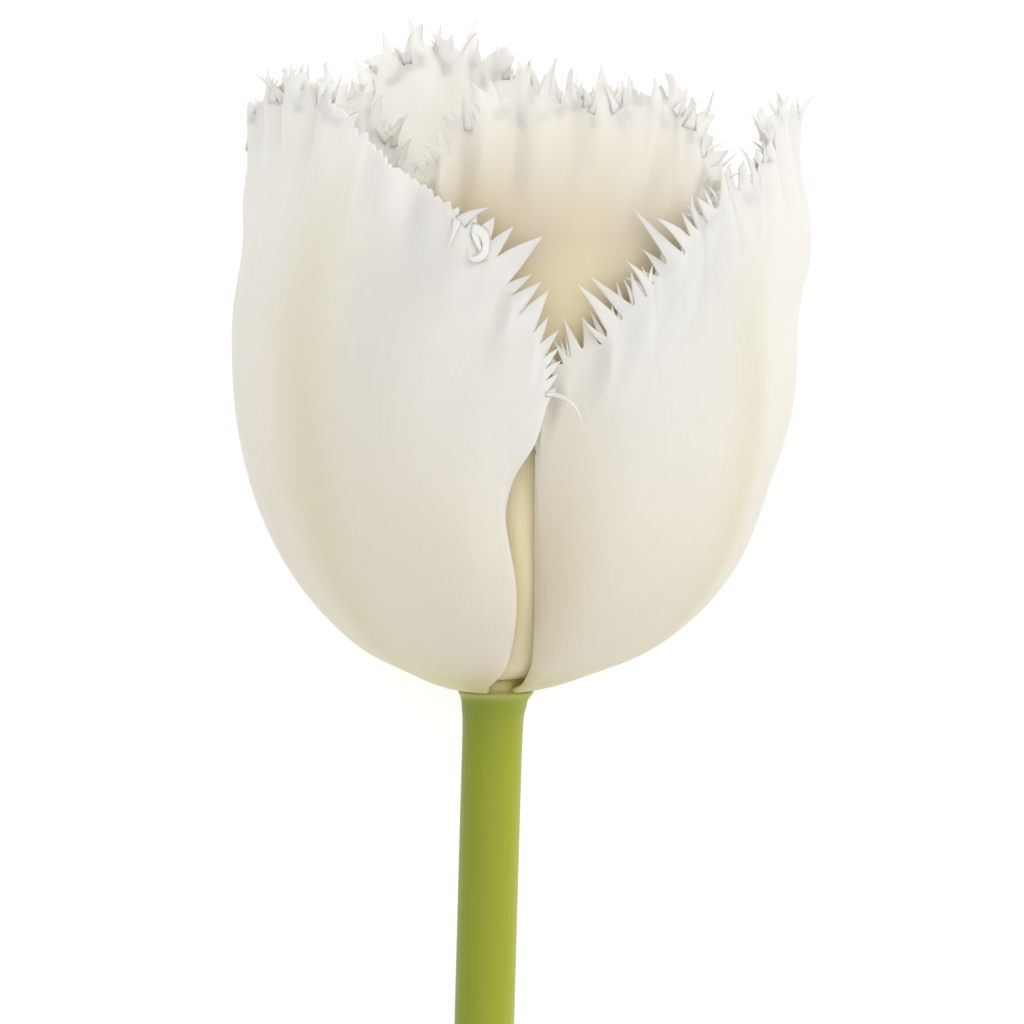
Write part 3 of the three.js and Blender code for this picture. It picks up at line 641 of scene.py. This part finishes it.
# %% The stalk's path and rings
STEM_RADIUS, STEM_LENGTH, COLLAR_RADIUS, REST_TRIM = 3.0, 150.0, 3.9, 0.08
STEM_BEND, STEM_BEND_LENGTH, STEM_SWEEP = 0.8, 22.0, 3.0
STEM_SIDES, STEM_FLUTES, FLUTE_DEPTH = 72, 24, 0.006     # the depth is a share of the radius
ROD_START, COLLAR_START, COLLAR_EASE = 1.9, 0.4, 1.0     # mm along the stalk from the bloom's foot
PAD_TOP, PAD_SHARE = 1.75, 0.003  # the pad's height in the bloom, and its place mark's step a mm


def stem_line(s):
    """The laid-down line at distance s from the bloom: it sinks by the tilt, and a square term eases it
    down to the table; aside it bends quickly at first and slowly later."""
    drop = STEM_LENGTH * math.sin(TILT) - (FOOT_HEIGHT - STEM_RADIUS + REST_TRIM)
    x = (-STEM_BEND * (1 - np.exp(-s / STEM_BEND_LENGTH))
         - STEM_SWEEP * np.sin(math.pi * s / (2 * STEM_LENGTH)) ** 2)
    z = FOOT_HEIGHT - s * math.sin(TILT) + drop * (s / STEM_LENGTH) ** 2
    return np.stack([x, -s * math.cos(TILT), z], -1) + np.array([shift[0], shift[1], 0])


def rings(middle, way, radius, sides, flute, flutes):
    """A ring of points round each middle, square to its way: radius * (1 + flute * cos(flutes * angle))."""
    across = unit(np.array([1.0, 0, 0]) - way * way[:, :1])
    up = np.cross(across, way)
    angle = 2 * math.pi * np.arange(sides) / sides
    r = radius[:, None] * (1 + flute * np.cos(flutes * angle))
    return (middle[:, None] + across[:, None] * (r * np.cos(angle))[..., None]
            + up[:, None] * (r * np.sin(angle))[..., None])


def capped(points, marks, name, node, finish_slot):
    """A closed piece from a stack of rings: side quads and two end faces. Rings run head to foot."""
    rows, sides = points.shape[:2]
    quads = grid_faces(rows, sides, wrap=True)
    ends = [list(range(sides))[::-1], list(range((rows - 1) * sides, rows * sides))]
    make_piece(name, points.reshape(-1, 3), quads.tolist() + ends, marks.reshape(-1, 3), node,
               finish_slot, (len(quads), len(quads) + 1))


head_z = np.array([PAD_TOP, 1.7, 1.55, 1.3, 0.9, 0.5, 0.2, -0.02, -0.16, -0.4, -0.7, -1.1])
head_r = np.array([1.6, 2.1, 2.5, 3.1, 3.2, 3.2, 3.22, 3.36, 3.78, 3.74, 3.55, 3.34])
head_x = axis_x(np.maximum(head_z, 0)) + 0.2 * bell(head_z + 0.4, 0.6)
head = lay_down(np.stack([head_x, np.zeros(len(head_z)), head_z], -1))
run = ROD_START + (STEM_LENGTH - ROD_START) * np.linspace(0, 1, 260) ** 1.15
rod_r = STEM_RADIUS + (COLLAR_RADIUS - STEM_RADIUS) * np.exp(-(run - COLLAR_START) / COLLAR_EASE)
line = np.vstack([head, stem_line(run)])
radii = np.concatenate([head_r, rod_r])
ways = unit(np.gradient(line, axis=0))
ways[:len(head)] = -turn[:, 2]    # the pad's rings lie level in the upright bloom
stem_rings = rings(line, ways, radii, STEM_SIDES, FLUTE_DEPTH, STEM_FLUTES)[::-1]
stem_rings[..., 2] = np.maximum(stem_rings[..., 2], 0)
stem_share = np.concatenate([PAD_SHARE * (PAD_TOP - head_z), run / STEM_LENGTH])[::-1]
around = np.broadcast_to(np.arange(STEM_SIDES) / STEM_SIDES, stem_rings.shape[:2])
# painted light: the third mark is largest on the stalk's right side, facing the brighter softbox
lit_side = 0.5 * ((1 + np.cos(2 * math.pi * around)) / 2) ** 2
stem_marks = np.stack([around, np.broadcast_to(stem_share[:, None], around.shape), lit_side], -1)
capped(stem_rings, stem_marks, "stem_surface", "stem", "stem_green")
print("stalk of", STEM_LENGTH, "mm, its end at", stem_line(np.array([STEM_LENGTH])).round(1).tolist())

# %% [markdown]
# ## Pistil and stamens
# Deep in the cup stand a three-sided ovary under a frilled three-lobed stigma, and six stamens: a
# fleshy filament each, and on it a long pollen sac with a groove down its face. A lathe makes only
# round things, so they are rings stacked up the leaning axis, whose radius swells in lobes.

# %% Ovary and stigma
OVARY_TOP, FILAMENT_RING, FILAMENT_TOP, ANTHER_LENGTH = 23.5, 4.9, 11.6, 11.0
FILAMENT_FOOT, RING_SPREAD, SAC_GAP = 3.1, 1.9, 0.3      # SAC_GAP lies between filament and sac
STAMENS, FIRST_STAMEN = 6, 20     # how many, and the first one's azimuth in degrees


def turned(z, radius, lobes, depth, sides=72, frill=0.0, frills=0):
    """Upright rings: radius * (1 + depth * cos(lobes * angle)) plus a small frill of the same kind."""
    angle = 2 * math.pi * np.arange(sides) / sides
    wave = depth * np.cos(lobes * (angle - math.pi / 2)) + frill * np.cos(frills * angle)
    r = radius[:, None] * (1 + wave)
    return np.stack([axis_x(z)[:, None] + r * np.cos(angle), r * np.sin(angle),
                     np.broadcast_to(z[:, None], r.shape)], -1)


def plain_marks(points):
    """Angle share and height share as the marks of a turned piece."""
    rows, sides = points.shape[:2]
    j, i = np.meshgrid(np.linspace(0, 1, rows), np.arange(sides) / sides, indexing="ij")
    return np.stack([i, j, np.zeros_like(i)], -1)


def eased(pairs, count):
    """A smooth (height, radius) profile through a few pairs."""
    profile = through(pairs, np.linspace(0, 1, count))
    return profile[:, 0], profile[:, 1]


ovary_pairs = [(2.35, 2.2), (2.9, 2.7), (5, 3.1), (9, 3.3), (14, 3.2), (18, 2.9), (21, 2.4),
               (OVARY_TOP, 2.0)]
ovary_points = turned(*eased(ovary_pairs, 70), 3, 0.09, frill=0.012, frills=6)
capped(lay_down(ovary_points), plain_marks(ovary_points), "ovary_surface", "ovary", "ovary_green")

foot = OVARY_TOP + 0.3
stigma_pairs = [(foot, 1.8), (foot + 0.6, 2.5), (foot + 1.4, 3.5), (foot + 2.3, 4.1), (foot + 3.0, 3.9),
                (foot + 3.3, 3.0), (foot + 3.38, 1.6), (foot + 3.2, 0.5)]
stigma_points = turned(*eased(stigma_pairs, 48), 3, 0.24, sides=144, frill=0.03, frills=27)
capped(lay_down(stigma_points), plain_marks(stigma_points), "stigma_surface", "stigma", "stigma_cream")
print("ovary and stigma reach", round(foot + 3.4, 1), "mm up the cup")


# %% Six stamens
def stamen_line(azimuth, z):
    """A stamen's middle: the circle round the ovary widens by RING_SPREAD from its foot to its tip."""
    ring = FILAMENT_RING + RING_SPREAD * smooth(2, 24, z)
    return np.stack([axis_x(z) + ring * math.sin(azimuth), -ring * math.cos(azimuth), z], -1)


def pod(middle, size, azimuth, sides, groove):
    """Level rings about a line: size * (1 - 0.16 cos 2a), with a groove cut on the outward side."""
    angle = 2 * math.pi * np.arange(sides) / sides
    outward_way = np.array([math.sin(azimuth), -math.cos(azimuth), 0])
    sideways = np.array([math.cos(azimuth), math.sin(azimuth), 0])
    shape = 1 - 0.16 * np.cos(2 * angle) - groove * np.exp(-((np.sin(angle / 2) / 0.16) ** 2))
    r = size[:, None] * shape
    return (middle[:, None] + outward_way * (r * np.cos(angle))[..., None]
            + sideways * (r * np.sin(angle))[..., None])


for number in range(STAMENS):
    azimuth = math.radians(360 / STAMENS * number + FIRST_STAMEN)
    z, r = eased([(FILAMENT_FOOT, 0.9), (4.2, 1.05), (7, 0.9), (9.5, 0.65), (FILAMENT_TOP, 0.42)], 30)
    rod = pod(stamen_line(azimuth, z), r, azimuth, 24, 0.0)
    capped(lay_down(rod), plain_marks(rod), f"filament_{number + 1}_surface", f"filament_{number + 1}",
           "filament_cream")
    share = np.linspace(0, 1, 48)
    size = 0.3 + 1.0 * np.sqrt(np.maximum(1 - (2 * share - 1) ** 4, 0))
    sac = pod(stamen_line(azimuth, FILAMENT_TOP + SAC_GAP + ANTHER_LENGTH * share), size, azimuth, 40, 0.3)
    capped(lay_down(sac), plain_marks(sac), f"anther_{number + 1}_surface", f"anther_{number + 1}",
           "anther_yellow")
print("six stamens, each", round(FILAMENT_TOP + ANTHER_LENGTH, 1), "mm tall")

# %% [markdown]
# ## Finishes
# Living tissue is never one flat colour. A white petal lets light through, is yellow-green along its
# midrib and at its foot, and has fine veins a fraction of a millimetre apart. An image would have to be
# unwrapped and would fit one petal only. The marks stored with each point already say where on its
# petal it is, so a few nodes can paint all of that. Colours are written as they look on a screen, and
# one function turns them to linear light; patterns are given by their spacing in millimetres.

# %% Small tools for materials
def colour(hex_value):
    """sRGB hex to linear RGBA, channel by channel."""
    channels = [int(hex_value[i:i + 2], 16) / 255 for i in (1, 3, 5)]
    return [c / 12.92 if c <= 0.04045 else ((c + 0.055) / 1.055) ** 2.4 for c in channels] + [1.0]


def cells(spacing):
    """The Scale of a noise whose features lie spacing mm apart: cells to the metre."""
    return 1000 / spacing


def add(material, kind, settings=(), inputs=(), stops=()):
    """Adds one shader node, sets its properties and sockets, and gives its outputs. A socket takes a
    number, a hex colour or another node's output, and stops are a colour ramp's (position, hex) pairs."""
    tree = material.node_tree
    node = tree.nodes.new("ShaderNode" + kind)
    for key, value in dict(settings).items():
        setattr(node, key, value)
    for key, value in dict(inputs).items():
        if isinstance(value, bpy.types.NodeSocket):
            tree.links.new(value, node.inputs[key])
        else:
            node.inputs[key].default_value = colour(value) if isinstance(value, str) else value
    for number, (position, value) in enumerate(stops):
        elements = node.color_ramp.elements
        element = elements[number] if number < 2 else elements.new(position)
        element.position, element.color = position, colour(value)
    return node.outputs


def new_finish(name, **shader):
    """A material with its Principled shader's own sockets set."""
    material = bpy.data.materials.new(name)
    material.use_nodes = True
    bsdf = material.node_tree.nodes["Principled BSDF"]
    for key, value in shader.items():
        value = colour(value) if isinstance(value, str) else value
        bsdf.inputs[key.replace("_", " ")].default_value = value
    return material, bsdf


MIXED, TIMES = dict(data_type="RGBA"), dict(operation="MULTIPLY")


# %% Petal finish
PETAL_WIDTH, PETAL_LENGTH = 58.8, 60.0       # a petal at its belly and along its midrib, mm
VEIN_SPACING, VEIN_RUN, CLOUD_SPACING = 0.7, 37.5, 8.333     # of the patterns, mm


def petal_finish(name, outer_stops, inner_stops, rib):
    """Grown petal with a wax skin: the wax gives a soft broad shine, and the wet tissue below lets light
    through, so its shadows stay pale. Coloured by place from foot to fringe, with painted shade from the
    stored marks, and on the inner petals' outer face painted light and shade in the stops as well."""
    material, bsdf = new_finish(name, Roughness=0.48, IOR=1.42, Subsurface_Weight=0.8,
                                Subsurface_Scale=0.0012, Subsurface_Radius=(1.0, 0.96, 0.88),
                                Sheen_Weight=0.08, Sheen_Roughness=0.5)
    place = add(material, "Attribute", dict(attribute_name="place"))["Vector"]
    _, height, face = add(material, "SeparateXYZ", inputs={0: place})
    outside = add(material, "ValToRGB", inputs={0: height}, stops=outer_stops)[0]
    inside = add(material, "ValToRGB", inputs={0: height}, stops=inner_stops)[0]
    base = add(material, "Mix", MIXED, {0: face, 6: outside, 7: inside})[2]
    # a soft midrib, and a darker, yellower white multiplied in by the first mark: the foot's own
    # yellow-green, and painted shade where the petal curves away from the light or lies deep between others
    tint_and_shade = add(material, "Attribute", dict(attribute_name="tint_and_shade"))["Vector"]
    yellow_and_shade, midrib, _ = add(material, "SeparateXYZ", inputs={0: tint_and_shade})
    base = add(material, "Mix", MIXED, {0: midrib, 6: base, 7: rib})[2]
    darken = MIXED | dict(blend_type="MULTIPLY")
    base = add(material, "Mix", darken, {0: yellow_and_shade, 6: base, 7: "#ece4d2"})[2]
    # veins: a noise on vein number and place, stretched hard along each vein
    across, along_vein = PETAL_WIDTH / 2 / VEIN_SPACING, PETAL_LENGTH / VEIN_RUN
    stretch = add(material, "VectorMath", TIMES, {0: place, 1: (across, along_vein, 1)})[0]
    veins = add(material, "TexNoise", inputs=dict(Vector=stretch, Scale=1.0, Detail=3.0, Roughness=0.6))
    faint = add(material, "Math", TIMES, {0: veins[0], 1: 0.07})[0]
    base = add(material, "Mix", MIXED, {0: faint, 6: base, 7: "#b9ad8c"})[2]
    # soft clouds, where the tissue is a little thicker
    coords = add(material, "TexCoord")["Object"]
    cloud = add(material, "TexNoise", inputs=dict(Vector=coords, Scale=cells(CLOUD_SPACING), Detail=3.0))
    faint = add(material, "Math", TIMES, {0: cloud[0], 1: 0.1})[0]
    base = add(material, "Mix", MIXED, {0: faint, 6: base, 7: "#cfc6ae"})[2]
    bump = add(material, "Bump", inputs=dict(Strength=0.2, Distance=0.00025, Height=veins[0]))
    material.node_tree.links.new(base, bsdf.inputs["Base Color"])
    material.node_tree.links.new(bump[0], bsdf.inputs["Normal"])
    return material


inner_face = [(0.0, "#c3bb6e"), (0.2, "#dcd3a0"), (0.55, "#f2ead0"), (0.85, "#fbf8ee"), (1.0, "#fdfbf5")]
outer_white = petal_finish(
    "waxy white outer petal",
    [(0.0, "#d6d48a"), (0.05, "#dedb9f"), (0.12, "#dfd8ae"), (0.25, "#e8decb"), (0.6, "#f1eadd"),
     (1.0, "#f5f2ec")],
    inner_face, "#dcd6b4")
# outer face: the foot's yellow-green is the petal's own; from 0.1 to 0.6 the cream is painted lighter for
# light coming through the outer petals, and the darker band from 0.72 to 0.85 is painted shade deep in the
# V between them
inner_cream_lit_and_shaded = petal_finish(
    "waxy cream inner petal",
    [(0.0, "#dccf8e"), (0.1, "#fdf0c8"), (0.45, "#fcefcc"), (0.6, "#faefcd"), (0.72, "#e5dabd"),
     (0.85, "#d3cab8"), (1.0, "#eeeae2")],
    inner_face, "#e6dbb6")
for name, piece in petals.items():
    piece.data.materials.append(outer_white if name.startswith("outer") else inner_cream_lit_and_shaded)
# torn slivers are too thin to glow from inside, so they look drier than the petal
torn_white, _ = new_finish("torn white petal edge", Base_Color="#edebe6", Roughness=0.5, IOR=1.42,
                           Subsurface_Weight=0.1, Subsurface_Scale=0.0003)
for piece in spurs:
    piece.data.materials.append(torn_white)


# %% Stalk, pistil and stamen finishes
def fleshy_finish(name, stops, streaks, spacing, roughness, dark):
    """Grown green or cream flesh: colour from end to end, with streaks or a powdery grain spacing mm
    apart, drawn out along Y where streaks is under 1, and painted lighter and yellower by the share in
    the third mark, a painted highlight on the side facing the brighter light. A dull bloom on the skin
    gives it a pale, soft edge."""
    material, bsdf = new_finish(name, Roughness=roughness, Specular_IOR_Level=0.2, Subsurface_Weight=0.15,
                                Sheen_Weight=0.16, Sheen_Roughness=0.45,
                                Subsurface_Scale=0.001, Subsurface_Radius=(0.8, 1.0, 0.3))
    place = add(material, "Attribute", dict(attribute_name="place"))["Vector"]
    _, height, lit_side = add(material, "SeparateXYZ", inputs={0: place})
    base = add(material, "ValToRGB", inputs={0: height}, stops=stops)[0]
    coords = add(material, "TexCoord")["Object"]
    stretch = add(material, "VectorMath", TIMES, {0: coords, 1: (1, streaks, 1)})[0]
    fibres = add(material, "TexNoise",
                 inputs=dict(Vector=stretch, Scale=cells(spacing), Detail=4.0, Roughness=0.6))
    faint = add(material, "Math", TIMES, {0: fibres[0], 1: 0.35})[0]
    base = add(material, "Mix", MIXED, {0: faint, 6: base, 7: dark})[2]
    # painted highlight: the lit side of the stalk is mixed towards a light yellow-green
    base = add(material, "Mix", MIXED, {0: lit_side, 6: base, 7: "#c4c83c"})[2]
    bump = add(material, "Bump", inputs=dict(Strength=0.25, Distance=0.0002, Height=fibres[0]))
    material.node_tree.links.new(base, bsdf.inputs["Base Color"])
    material.node_tree.links.new(bump[0], bsdf.inputs["Normal"])
    return material


# the stalk is smooth, with its fibres showing through the skin
stalk_green = fleshy_finish(
    "smooth green stalk",
    [(0.0, "#f4eaba"), (0.0042, "#eee3ac"), (0.0052, "#c2be74"), (0.0064, "#a3aa50"), (0.0085, "#889537"),
     (0.05, "#8f9a2b"), (1.0, "#97a232")],
    0.06, 1.111, 0.5, "#7b8832")
# ovary and filaments are wet and firm, the smoothest things in the bloom
ovary_green = fleshy_finish(
    "pale green ovary", [(0.0, "#c4cc86"), (1.0, "#a9b865")], 0.2, 1.4286, 0.45, "#93a352")
cream_flesh = fleshy_finish(
    "cream filament", [(0.0, "#e6e3b4"), (1.0, "#f0ecc9")], 0.2, 1.4286, 0.5, "#cdc98c")
# stigma and sacs are matt: fine hairs on one and pollen grains on the other, drawn coarser than they are
velvet_cream = fleshy_finish(
    "velvety cream stigma", [(0.0, "#dfe0a4"), (1.0, "#f0e9bd")], 1, 0.3846, 0.8, "#c9c283")
pollen = fleshy_finish(
    "pollen-dusted yellow sac", [(0.0, "#dcc468"), (1.0, "#e2cd78")], 1, 0.3125, 0.9, "#a98a2e")
finishes = dict(stem_green=stalk_green, ovary_green=ovary_green, filament_cream=cream_flesh,
                stigma_cream=velvet_cream, anther_yellow=pollen)
for finish_slot, finish in finishes.items():
    for piece in pieces[finish_slot]:
        piece.data.materials.append(finish)
print("finishes:", [finish.name for finish in (outer_white, inner_cream_lit_and_shaded, torn_white, *finishes.values())])

# %% [markdown]
# ## Table, light and camera
# The flower lies on a plain white table under big soft lights, the brighter one on its right, so the
# left petals turn a cool grey and nothing throws a hard shadow. The camera looks straight down on the
# front of the bloom from well away, so its lens is long and the cup's near side isn't swollen.

# %% Table
floor_mesh = bpy.data.meshes.new("table_top")
reach = 3.0                       # half the table's side, m
corners = [(-reach, -reach, 0), (reach, -reach, 0), (reach, reach, 0), (-reach, reach, 0)]
floor_mesh.from_pydata(corners, [], [(0, 1, 2, 3)])
floor = bpy.data.objects.new("table_top", floor_mesh)
bpy.context.scene.collection.objects.link(floor)
white_table, _ = new_finish("plain white light table", Base_Color="#b4b4b4", Roughness=0.9,
                            Emission_Color=(1.0, 1.0, 1.0, 1.0), Emission_Strength=0.66)
floor.data.materials.append(white_table)

# %% Light
world = bpy.data.worlds.new("soft white room")
bpy.context.scene.world = world
world.use_nodes = True
world.node_tree.nodes["Background"].inputs["Color"].default_value = (1.0, 1.0, 1.0, 1.0)
world.node_tree.nodes["Background"].inputs["Strength"].default_value = 0.56


def softbox(name, place, aim, size, watts):
    """A square area light at a place, turned towards a point."""
    light = bpy.data.lights.new(name, "AREA")
    light.size, light.energy = size, watts
    lamp = bpy.data.objects.new(name, light)
    lamp.location = place
    lamp.rotation_mode = "QUATERNION"
    lamp.rotation_quaternion = (Vector(aim) - Vector(place)).to_track_quat("-Z", "Y")
    bpy.context.scene.collection.objects.link(lamp)


softbox("large softbox on the right", (0.75, 0.35, 0.75), (0, 0, 0.03), 0.8, 3.0)
softbox("wide softbox overhead", (0.0, 0.0, 1.4), (0, 0, 0.03), 1.2, 7.2)
bpy.context.scene.view_settings.view_transform = "Standard"

# %% Camera
ELEVATION = math.radians(5.5)     # how far the camera looks down into the bloom's own upright frame
DISTANCE = 600.0                  # mm
FRAME_WIDTH = 102.4               # what the view takes in at the bloom's axis, mm
SENSOR_WIDTH = 36.0               # mm
aim = lay_down(np.array([LEAN, 0.0, 17.8]))
view_way = np.array([0, math.sin(ELEVATION - TILT), math.cos(ELEVATION - TILT)])
lens = bpy.data.cameras.new("long lens")
lens.sensor_width = SENSOR_WIDTH
lens.lens = SENSOR_WIDTH * DISTANCE / FRAME_WIDTH
lens.clip_start, lens.clip_end = 0.05, 10.0
camera = bpy.data.objects.new("camera", lens)
camera.location = Vector(((aim + DISTANCE * view_way) / 1000).tolist())
camera.rotation_mode = "QUATERNION"
camera.rotation_quaternion = Vector((-view_way).tolist()).to_track_quat("-Z", "Y")
bpy.context.scene.collection.objects.link(camera)
bpy.context.scene.camera = camera
print("camera at", [round(x, 3) for x in camera.location], "lens", round(lens.lens, 1))
